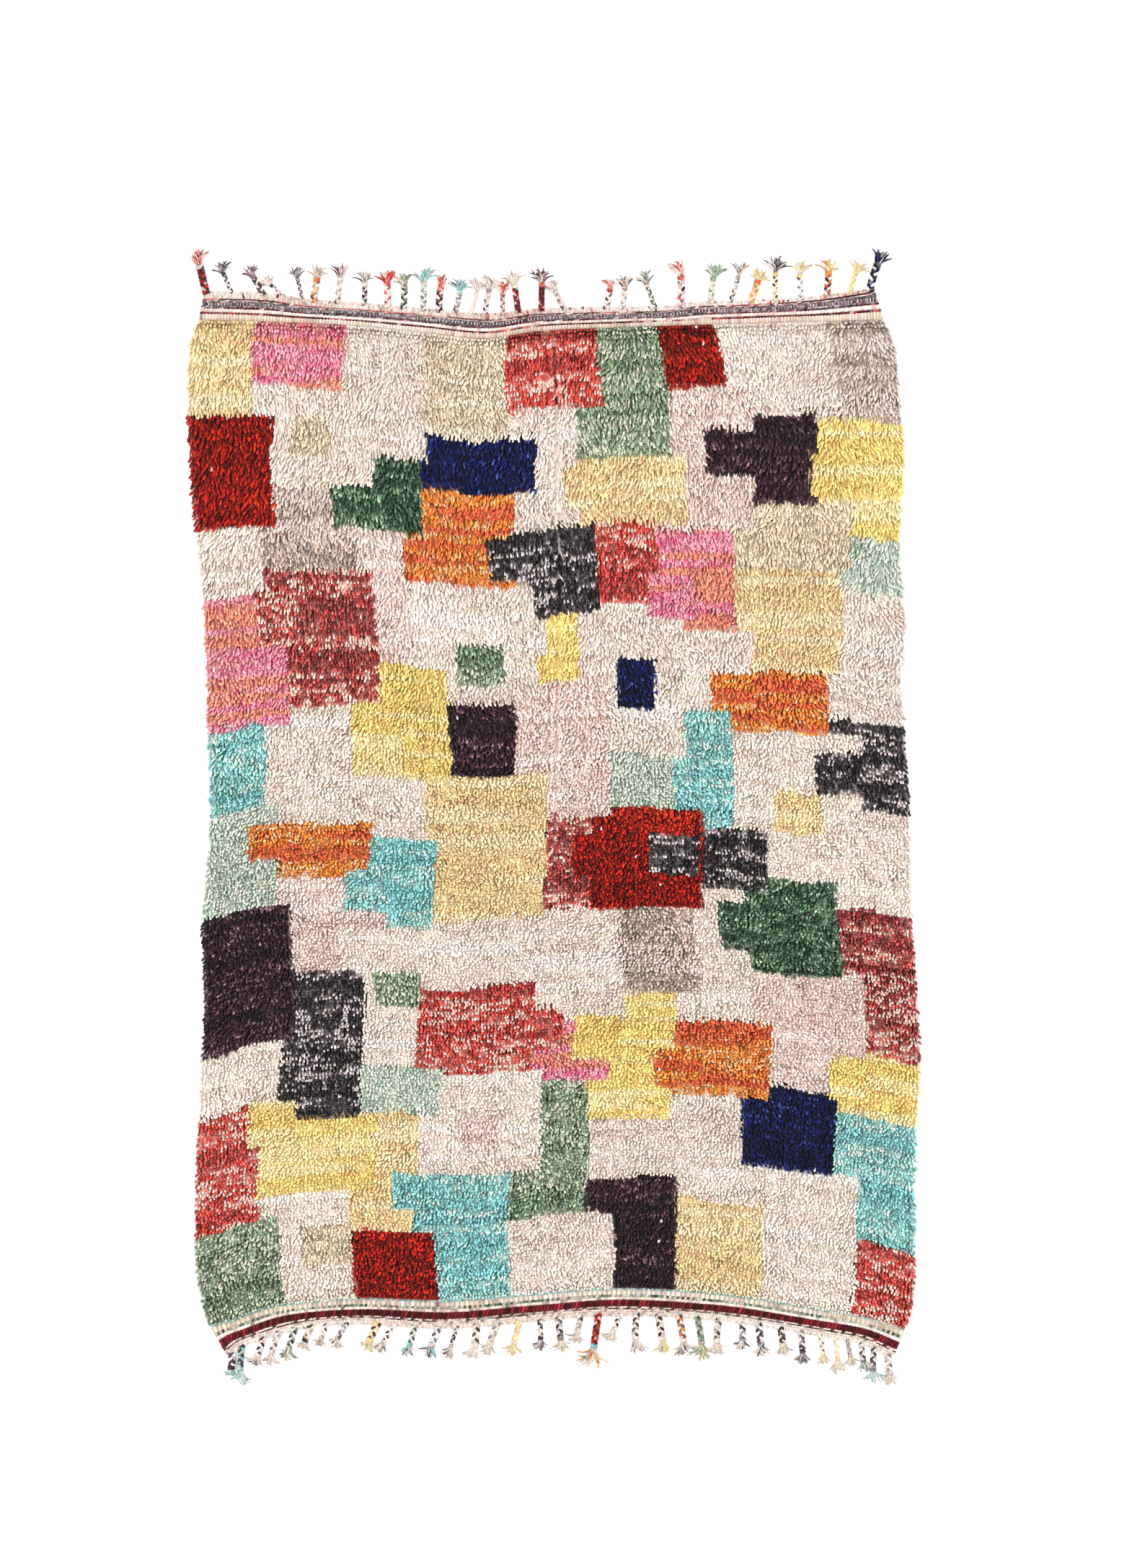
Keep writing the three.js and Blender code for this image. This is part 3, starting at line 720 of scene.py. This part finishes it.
def make_pile(tree, material):
    rng = np.random.default_rng(29)
    i, j = np.meshgrid(np.arange(KNOTS_ACROSS), np.arange(KNOTS_ALONG))
    i, j = i.ravel(), j.ravel()
    n = len(i)
    u = (i + 0.5 + 0.42 * (rng.random(n) - 0.5) + 0.25 * (j % 2 - 0.5)) / KNOTS_ACROSS
    v = (j + 0.5 + 0.42 * (rng.random(n) - 0.5)) / KNOTS_ALONG
    place = pile_place(u, v)
    x, y = place[:, 0], place[:, 1]
    yarn, block = pattern_at(u, v)
    colours = yarn_colours(yarn, i.astype(float), j.astype(float), block, 11, PALE_FLECK_SHARE)

    combed = smooth_step(v, 0.42, 0.8)
    sides, ends = rim_nearness(u, v)
    marled = np.array([YARNS[name][2] > MARLED_ABOVE for name in YARN_NAMES])[yarn]
    wild = np.where(marled, 0.4, 1.0)
    swirl = np.zeros(n)
    for (degrees, grain), seed in ((FAR_SWIRL, 12), (NEAR_SWIRL, 13)):
        swirl += math.radians(degrees) * (soft_noise(x / grain, y / grain, seed) - 0.5) * 2
    swirl += math.radians(OWN_SWIRL) * (rng.random(n) - 0.5) * 2
    heading = -math.pi / 2 + swirl * (1 - 0.35 * combed) * wild
    lean = TUFT_LEAN[0] + TUFT_LEAN[1] * combed
    lean = np.radians(lean + 18 * wild * (rng.random(n) - 0.5))
    long = TUFT_LENGTH[0] + TUFT_LENGTH[1] * combed
    long = long * (1 + 0.32 * wild * (rng.random(n) - 0.5))
    long = long * (1 - 0.25 * np.maximum(sides, ends))
    stout = TUFT_RADIUS[0] + TUFT_RADIUS[1] * combed
    stout = stout * (0.8 + 0.4 * rng.random(n))
    # The pile lies over the rug's sides and parts along the fold
    way = np.stack((np.cos(heading), np.sin(heading)), axis=1)
    out = np.sign(u - 0.5)
    way[:, 0] += 0.55 * out * sides**1.3
    away = x - crease_line(y)
    for parting, force in ((-8.0, 0.3), (9.0, 0.55)):
        near = np.exp(-(((away - parting) / 7) ** 2))
        way[:, 0] += force * crease_strength(y) * near * np.sign(away - parting)
    way /= np.linalg.norm(way, axis=1, keepdims=True)
    heading = np.arctan2(way[:, 1], way[:, 0])
    lean = lean + (np.radians(78) - lean) * sides**1.5
    lean = lean * (1 - 0.8 * ends)
    rise = lump_rise(x, y) + crease_rise(x, y) + 1.6 * wild * (rng.random(n) - 0.5)
    z = GROUND_HEIGHT - 1.5 + rise * (1 - sides) - 5.5 * np.maximum(sides**2, 0.6 * ends**2)
    # No strand goes under the floor, and each is cut at the pile's height
    z = np.maximum(z, stout * np.sin(lean) + 0.2)
    long = np.minimum(long, (PILE_LIMIT - z) / np.cos(lean))

    tuft = strand_shape("tuft", [(0, 0), (0.14, 0.9), (0.96, 0.72)], 3, bend=0.3)
    pieces = []
    for k, chosen in enumerate(np.array_split(np.arange(n), TUFT_PIECES)):
        turns = np.column_stack((0 * lean, lean, heading))[chosen]
        sizes = np.column_stack((stout, stout, long))[chosen]
        points = np.column_stack((x, y, z))[chosen]
        pieces.append(plant(f"pile_tufts_{k + 1}", tree, tuft, points, turns, sizes,
                            colours[chosen], material, 2 * math.pi, 60 + k))
    return pieces


def make_ground(material):
    """The cloth that the knots are tied on, down to the floor, which shows the pattern from
    below."""
    across, along = GROUND_CELLS
    inset_u, inset_v = GROUND_INSET[0] / FIELD_WIDTH, GROUND_INSET[1] / FIELD_LENGTH
    u = inset_u + (1 - 2 * inset_u) * np.linspace(0, 1, across + 1)
    v = inset_v + (1 - 2 * inset_v) * np.linspace(0, 1, along + 1)
    uu, vv = np.meshgrid(u, v)
    place = pile_place(uu, vv).reshape(-1, 2)
    x, y = place[:, 0], place[:, 1]
    sides, ends = rim_nearness(uu.ravel(), vv.ravel())
    top = GROUND_HEIGHT + (lump_rise(x, y) + crease_rise(x, y)) * (1 - sides)
    top -= 6.2 * np.maximum(sides**1.5, 0.9 * ends**1.5)
    rim = np.maximum(sides, ends) ** 4
    under = 0.35 + 1.2 * rim
    points = np.concatenate((np.column_stack((x, y, top)), np.column_stack((x, y, under))))
    count = len(x)
    at = lambda i, j: j * (across + 1) + i
    faces = []
    for j in range(along):
        for i in range(across):
            a, b, c, d = at(i, j), at(i + 1, j), at(i + 1, j + 1), at(i, j + 1)
            faces.append((a, b, c, d))
            faces.append((d + count, c + count, b + count, a + count))
    rim_line = [at(i, 0) for i in range(across)] + [at(across, j) for j in range(along)]
    rim_line += [at(i, along) for i in range(across, 0, -1)]
    rim_line += [at(0, j) for j in range(along, 0, -1)]
    for a, b in zip(rim_line, rim_line[1:] + rim_line[:1]):
        faces.append((a + count, b + count, b, a))
    ground = mesh_object("ground_cloth", points, faces, material)
    middles = np.zeros(3 * len(faces))
    ground.data.polygons.foreach_get("center", middles)
    fu = np.array([np.mean([uu.ravel()[p % count] for p in f]) for f in faces])
    fv = np.array([np.mean([vv.ravel()[p % count] for p in f]) for f in faces])
    yarn, block = pattern_at(fu, fv)
    colours = yarn_colours(yarn, fu * 150, fv * 200, block, 17)
    keep(ground.data, "yarn", "FLOAT_COLOR", "CORNER", np.repeat(colours, 4, axis=0))
    # Painted shade: the top and sides of the ground cloth, under the tufts, take the wool's full
    # root shade, and its underside a little of it
    painted_shade_level = np.where(middles.reshape(-1, 3)[:, 2] > 0.004, 0.0, 0.9)
    keep(ground.data, "along", "FLOAT", "CORNER", np.repeat(painted_shade_level, 4))
    return ground


# The end bands and the strips of warp ends


def slab(name, lines, heights, colours, material):
    """A closed strip of cloth between the first and last of several lines of points. Each
    line has a height, and each row between two lines has a colour, seen from below too."""
    n, rows = len(lines[0]), len(lines) - 1
    points = [np.column_stack((line, np.full(n, z))) for line, z in zip(lines, heights)]
    points += [np.column_stack((line, np.full(n, UNDERSIDE))) for line in lines[::-1]]
    rings = len(points)
    points = np.concatenate(points)
    faces, tones = [], []
    for i in range(n - 1):
        for k in range(rings):
            a, b = k * n + i, ((k + 1) % rings) * n + i
            faces.append((a, a + 1, b + 1, b))
            tones += [linear(YARNS[colours[max(0, min(k, rows - 1, 2 * rows - k))]][0])] * 4
    for i, turned in ((0, 1), (n - 1, -1)):
        faces.append(tuple(k * n + i for k in range(rings))[::turned])
        tones += [linear(YARNS[colours[0]][0])] * rings
    across = np.append(lines[-1][0] - lines[0][0], 0)
    if np.cross(np.append(lines[0][-1] - lines[0][0], 0), across)[2] < 0:
        faces = [f[::-1] for f in faces]
    thing = mesh_object(name, points, faces, material)
    thing.data.polygons.foreach_set("use_smooth", np.zeros(len(faces), bool))
    keep(thing.data, "yarn", "FLOAT_COLOR", "CORNER", tones)
    # Painted shade: the whole cloth is darkened a little, as along 0.3 in the wool, for shade
    # between the stitches and loops
    keep(thing.data, "along", "FLOAT", "POINT", np.full(len(points), 0.3))
    return thing


def on_line(at, run, line):
    """Points at distances along a line whose own points lie at the distances in run."""
    return np.column_stack([np.interp(at, run, line[:, k]) for k in (0, 1)])


def laid(heading):
    """Turns that lay strands down towards their headings."""
    return np.column_stack((0 * heading, 0 * heading + math.pi / 2, heading))


def make_band(name, tree, stitch, inner, outer, rows, material, seed):
    """A flat-woven band: its ground, and rows of stitches along it."""
    near, far = inner(EDGE_SHARES), outer(EDGE_SHARES)
    near = near + SEAM_GAP * (far - near) / np.linalg.norm(far - near, axis=1, keepdims=True)
    whole = sum(row[1] for row in rows)
    ends = np.concatenate(([0], np.cumsum([row[1] for row in rows]))) / whole
    # Between its stitches a row shows its first yarn, and a ribbed cream row its darker single
    # one, which there stands in part for painted shade in the gaps between the ribs
    gaps = [row[6] if row[0] == "cream" else row[5][0] for row in rows]
    ground = slab(name + "_ground", [near + (far - near) * e for e in ends],
                  [BAND_GROUND] * len(ends), gaps, material)
    rng = np.random.default_rng(seed)
    start = 0
    points, turns, sizes, colours = [], [], [], []
    for r, (_, wide, rise, pitch, slant, yarns, single, share) in enumerate(rows):
        middle = (start + wide / 2) / whole
        start += wide
        line = near + (far - near) * middle
        steps = np.linalg.norm(np.diff(line, axis=0), axis=1)
        run = np.concatenate(([0], np.cumsum(steps)))
        count = int(run[-1] / pitch)
        s = (np.arange(count) + 0.5 + 0.16 * (rng.random(count) - 0.5)) * run[-1] / count
        wave = 0.5 * np.sin(s / 37 + r) + 0.35 * (rng.random(count) - 0.5)
        along = on_line(s + 4, run, line) - on_line(s - 4, run, line)
        heading = np.arctan2(along[:, 1], along[:, 0])
        square = np.column_stack((-np.sin(heading), np.cos(heading)))
        place = on_line(s, run, line) + square * wave[:, None]
        local = np.linalg.norm(on_line(s, run, far - near), axis=1) / whole * wide
        tilt = np.radians(slant + 7 * (rng.random(count) - 0.5))
        if abs(slant) > CROSSWISE_ABOVE:
            long, thick = local * 1.2, np.full(count, pitch * 0.42)
        else:
            long, thick = np.full(count, pitch * 1.28), local * 0.56
        top = BAND_THICKNESS + rise
        high = np.minimum(thick, 0.47 * top) * (0.94 + 0.1 * rng.random(count))
        points.append(np.column_stack((place, top - high)))
        turns.append(laid(heading + tilt))
        # The strand's own x lies upright once it is laid down
        sizes.append(np.column_stack((high, thick, long)))
        which = soft_noise(s / 95 + 9 * r, np.full(count, 0.5 + r), seed + r)
        pick = np.clip((which * 1.6 - 0.3) * len(yarns), 0, len(yarns) - 1e-3).astype(int)
        names = np.array([YARN_NAMES.index(y) for y in yarns])[pick]
        turn = (np.arange(count) * share) % 1 < share if share > 0.1 else rng.random(count) < share
        turn &= rng.random(count) < 0.85
        names = np.where(turn, YARN_NAMES.index(single), names)
        level = np.full(count, r)
        colours.append(yarn_colours(names, s / pitch, 3.0 * level, level, seed + 40 + r))
    seats = (np.concatenate(parts) for parts in (points, turns, sizes, colours))
    stitches = plant(name + "_stitches", tree, stitch, *seats, material, 0.0, seed)
    return ground, stitches


def strip_line(edge, side, strip, u, distance_share, inset):
    wide = strip[0] + (strip[1] - strip[0]) * u
    distance = SEAM_GAP + inset + (wide - SEAM_GAP - inset) * distance_share
    return edge(u) + outwards(edge, u, side) * distance[:, None]


def make_strip(name, tree, stitch, edge, side, strip, yarns, material, seed):
    """The strip of warp ends beyond a band, looped close together."""
    near = strip_line(edge, side, strip, EDGE_SHARES, 0.0, 0.0)
    far = strip_line(edge, side, strip, EDGE_SHARES, 0.9, 0.0)
    ground = slab(name + "_ground", [near, far], STRIP_HEIGHTS, ["rose"], material)
    rng = np.random.default_rng(seed)
    span = np.linalg.norm(np.diff(near, axis=0), axis=1).sum()
    count = int(span / LOOP_PITCH)
    loops = []
    for k in range(2):
        t = (np.arange(count) + 0.5 + 0.3 * (rng.random(count) - 0.5)) / count
        wide = strip[0] + (strip[1] - strip[0]) * t
        share = 0.3 + 0.36 * k + 0.1 * (rng.random(count) - 0.5)
        middle = strip_line(edge, side, strip, t, share, 0.4)
        square = outwards(edge, t, side)
        heading = np.arctan2(square[:, 1], square[:, 0])
        heading = heading + np.radians(50) * (rng.random(count) - 0.5)
        long = wide * (0.7 - 0.06 * k) * (0.8 + 0.4 * rng.random(count))
        thick = 1.9 + 0.8 * rng.random(count)
        z = 2.2 + 0.9 * rng.random(count)
        loops.append((np.column_stack((middle, z)), laid(heading),
                      np.column_stack((np.minimum(thick, z - 0.3), thick, long)), t))
    points, turns, sizes, t = (np.concatenate([l[k] for l in loops]) for k in range(4))
    pick = rng.choice(len(yarns), len(t), p=[share for _, share in yarns])
    names = np.array([YARN_NAMES.index(y) for y, _ in yarns])[pick]
    colours = yarn_colours(names, t * span / 6, np.zeros(len(t)), np.zeros(len(t)), seed + 3)
    warp = plant(name + "_loops", tree, stitch, points, turns, sizes, colours, material, 0.0, seed)
    return ground, warp


# The plaits


def strand_tubes(paths, material, name):
    """One mesh of closed tubes. Each path has points, radii, colours and a number of sides."""
    points, faces, colours, along, maps = [], [], [], [], []
    grid = math.ceil(math.sqrt(len(paths)))
    for number, (line, radii, tone, sides) in enumerate(paths):
        line = np.asarray(line, float)
        way = np.gradient(line, axis=0)
        way /= np.linalg.norm(way, axis=1, keepdims=True) + 1e-9
        side = np.cross(way, (0.0, 0.0, 1.0))
        side /= np.linalg.norm(side, axis=1, keepdims=True) + 1e-9
        up = np.cross(side, way)
        start = len(points)
        n = len(line)
        for k in range(n):
            for m in range(sides):
                angle = 2 * math.pi * (m + 0.5) / sides
                p = line[k] + radii[k] * (math.cos(angle) * side[k] + math.sin(angle) * up[k])
                points.append((p[0], p[1], max(p[2], 0.15)))
                colours.append(tone[k])
                # Painted shade: each strand's underside is darker and its top lighter
                along.append(0.55 + 0.45 * (math.sin(angle) * 0.5 + 0.5))
        origin = np.array((number % grid, number // grid)) / grid
        cell = lambda a, b: tuple(origin + np.array((0.06 + 0.88 * a, 0.06 + 0.88 * b)) / grid)
        for k in range(n - 1):
            for m in range(sides):
                a, b = start + k * sides + m, start + k * sides + (m + 1) % sides
                faces.append((a, b, b + sides, a + sides))
                low, high = k / (n - 1), (k + 1) / (n - 1)
                left, right = m / sides, (m + 1) / sides
                maps += [cell(low, left), cell(low, right), cell(high, right), cell(high, left)]
        first = tuple(range(start, start + sides))
        last = tuple(range(start + (n - 1) * sides, start + n * sides))
        faces += [first[::-1], last]
        maps += [cell(end, m / sides) for end in (0.0, 1.0) for m in range(sides)]
    thing = mesh_object(name, points, faces, material)
    keep(thing.data, "yarn", "FLOAT_COLOR", "POINT", colours)
    keep(thing.data, "along", "FLOAT", "POINT", along)
    uv = thing.data.uv_layers.new(name="OFBake")
    uv.data.foreach_set("uv", np.asarray(maps, np.float32).ravel())
    return thing


def spun(yarn, n, seed):
    """Colours along a strand of yarn, which changes from one spun colour to the other."""
    names = np.full(n, YARN_NAMES.index(yarn))
    return yarn_colours(names, np.arange(n) / 1.5, np.full(n, float(seed)), np.full(n, seed), seed)


def make_plaits(name, edge, side, strip, plaits, material):
    rng = np.random.default_rng(97 + side)
    paths = []
    first, last = edge(0.0)[0], edge(1.0)[0]
    for index, (at, long, lean, stout, *strands, knot, fan, other_fan) in enumerate(plaits):
        u = np.clip(np.array([(at + OUTLINE_SHIFT[0] - first) / (last - first)]), 0, 1)
        wide = strip[0] + (strip[1] - strip[0]) * u[0]
        root = (edge(u) + outwards(edge, u, side) * (wide - PLAIT_ROOT_DEPTH))[0]
        angle = math.radians(lean)
        heading = np.array((math.sin(angle), side * math.cos(angle)))
        across = np.array((heading[1], -heading[0]))
        bow = 0.09 * long * (scatter(index, side + 5) - 0.5)
        reach = long + PLAIT_ROOT_DEPTH

        def lay(share, offset, z):
            share = np.asarray(share, float)
            flat = (root + np.outer(share * reach, heading)
                    + np.outer(bow * np.sin(np.pi * share) + offset, across))
            return np.column_stack((flat, z))

        # Three strands that pass over each other in turn
        n = max(10, int(reach * KNOT_SHARE / STRAND_STEP))
        s = np.linspace(-0.03, KNOT_SHARE, n)
        turn = 2 * math.pi * s * reach / (STRAND_TURN * stout)
        for k, yarn in enumerate(strands):
            phase = turn + 2 * math.pi * k / 3
            offset = STRAND_SWING * stout * np.sin(phase)
            z = 4.0 * stout + 1.25 * stout * np.sin(2 * phase)
            radii = STRAND_RADIUS * stout * (0.94 + 0.12 * rng.random(n))
            paths.append((lay(s, offset, z), radii, spun(yarn, n, 7 * index + k), 5))
        # The knot: about two turns of yarn around the plait
        t = np.linspace(0, 4.2 * math.pi, KNOT_POINTS)
        s = KNOT_SHARE - 0.02 + 5.5 * stout * (t / t[-1] - 0.5) / reach
        ring = KNOT_RADIUS * stout * (1 + 0.1 * np.sin(t * 0.9))
        paths.append((lay(s, ring * 1.2 * np.cos(t), 5.4 * stout + ring * 0.85 * np.sin(t)),
                      np.full(KNOT_POINTS, KNOT_YARN_RADIUS * stout),
                      spun(knot, KNOT_POINTS, 300 + index), 5))
        # The fanned ends, which come to rest on the floor
        for k in range(FAN_STRANDS):
            spread = (k % 9 - 4) / 4
            reach_out = (1.05 - FAN_SHARE) * reach * (0.72 + 0.4 * rng.random())
            t = np.linspace(0, 1, len(FAN_RADII))
            turn_out = math.radians(31) * spread + math.radians(24) * (rng.random() - 0.5)
            curl = math.radians(96) * (rng.random() - 0.5) - math.radians(12) * spread
            away = turn_out + curl * t
            forward = FAN_SHARE - 0.05 + reach_out / reach * t * np.cos(away)
            offset = 1.8 * stout * spread + reach_out * t * np.sin(away)
            low = 1.2 + 0.8 * rng.random()
            z = (5.0 * stout - 1.2 * abs(spread)) * (1 - t) ** 1.2 + low
            z = z + 1.2 * rng.random() * np.sin(np.pi * t)
            radii = stout**0.5 * FAN_RADII
            yarn = (fan, other_fan, "cream")[int(np.searchsorted((0.48, 0.78), rng.random()))]
            colours = spun(yarn, len(FAN_RADII), 500 + 20 * index + k)
            paths.append((lay(forward, offset, z), radii, colours, 3))
    return strand_tubes(paths, material, name)


# Putting the rug together

pile_wool = wool("hand-spun pile wool", 0.3, 0.93, 1200.0, 0.6)
ground_wool = wool("ground cloth", 0.16, 0.8, 420.0, 0.8)
band_wool = wool("flat-woven wool", 0.7, 0.72, 1100.0, 0.6)
plait_wool = wool("plaited wool", 0.5, 0.7, 1300.0, 0.7)

tree = planting_tree()
stitch = strand_shape("stitch", [(-0.5, 0), (-0.36, 0.95), (0.36, 0.95), (0.5, 0)], 6)

ground = make_ground(ground_wool)
tufts = make_pile(tree, pile_wool)
top_band = make_band(
    "top_band", tree, stitch, pile_top, band_top, TOP_BAND_ROWS, band_wool, 201)
bottom_band = make_band(
    "bottom_band", tree, stitch, pile_bottom, band_bottom, BOTTOM_BAND_ROWS, band_wool, 301)
top_strip = make_strip("top_strip", tree, stitch, band_top, 1, TOP_STRIP, (
    ("rose", 0.62), ("cream", 0.26), ("taupe", 0.08), ("brick", 0.04)), band_wool, 401)
bottom_strip = make_strip("bottom_strip", tree, stitch, band_bottom, -1, BOTTOM_STRIP, (
    ("cream", 0.6), ("rose", 0.28), ("sand", 0.12)), band_wool, 501)
top_plaits = make_plaits("top_plaits", band_top, 1, TOP_STRIP, TOP_PLAITS, plait_wool)
bottom_plaits = make_plaits(
    "bottom_plaits", band_bottom, -1, BOTTOM_STRIP, BOTTOM_PLAITS, plait_wool)

# Each piece, the solid it stands for and the finish it takes
PIECES = [(piece, node, finish) for node, finish, pieces in (
    ("pile_field", "wool_pile", (ground, *tufts)),
    ("end_band_top", "twined_wool", top_band),
    ("end_band_bottom", "ribbed_wool", bottom_band),
    ("fringe_top", "plaited_wool", (*top_strip, top_plaits)),
    ("fringe_bottom", "plaited_wool", (*bottom_strip, bottom_plaits)),
) for piece in pieces]
for piece, node, finish in PIECES:
    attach(piece, "root")
    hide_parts(node)

# Floor, light and camera

FLOOR_HALF = 9000
corners = [(FLOOR_HALF * x, FLOOR_HALF * y, 0) for x, y in ((-1, -1), (1, -1), (1, 1), (-1, 1))]
floor = mesh_object("floor", corners, [(0, 1, 2, 3)], floor_material())

SENSOR = 36.0
VIEW_HEIGHT = 3.261
CAMERA_HEIGHT = 6.0
camera = bpy.data.objects.new("camera", bpy.data.cameras.new("camera"))
camera.data.sensor_fit = "VERTICAL"
camera.data.sensor_height = SENSOR
camera.data.lens = SENSOR * CAMERA_HEIGHT / VIEW_HEIGHT
camera.location = (0.0382, 0.0689, CAMERA_HEIGHT)
bpy.context.scene.collection.objects.link(camera)
bpy.context.scene.camera = camera


def soft_light(name, place, size, power):
    light = bpy.data.lights.new(name, "AREA")
    light.shape = "SQUARE"
    light.size = size
    light.energy = power
    thing = bpy.data.objects.new(name, light)
    thing.location = place
    length = math.sqrt(sum(c * c for c in place))
    turn = math.atan2(place[1], place[0]) + math.pi / 2
    thing.rotation_euler = (math.acos(place[2] / length), 0, turn)
    bpy.context.scene.collection.objects.link(thing)


soft_light("key light", (-6.0, 6.4, 13.0), 7.5, 1650)
soft_light("fill light", (8.0, -5.0, 12.0), 8.0, 900)

world = bpy.data.worlds.new("studio")
world.use_nodes = True
sky = Nodes(world.node_tree)
glow = sky.add("ShaderNodeBackground", {}, {"Color": (1.0, 1.0, 1.0, 1), "Strength": 1.06})
sky.add("ShaderNodeOutputWorld", {}, {"Surface": glow})
bpy.context.scene.world = world
bpy.context.scene.view_settings.view_transform = "Standard"
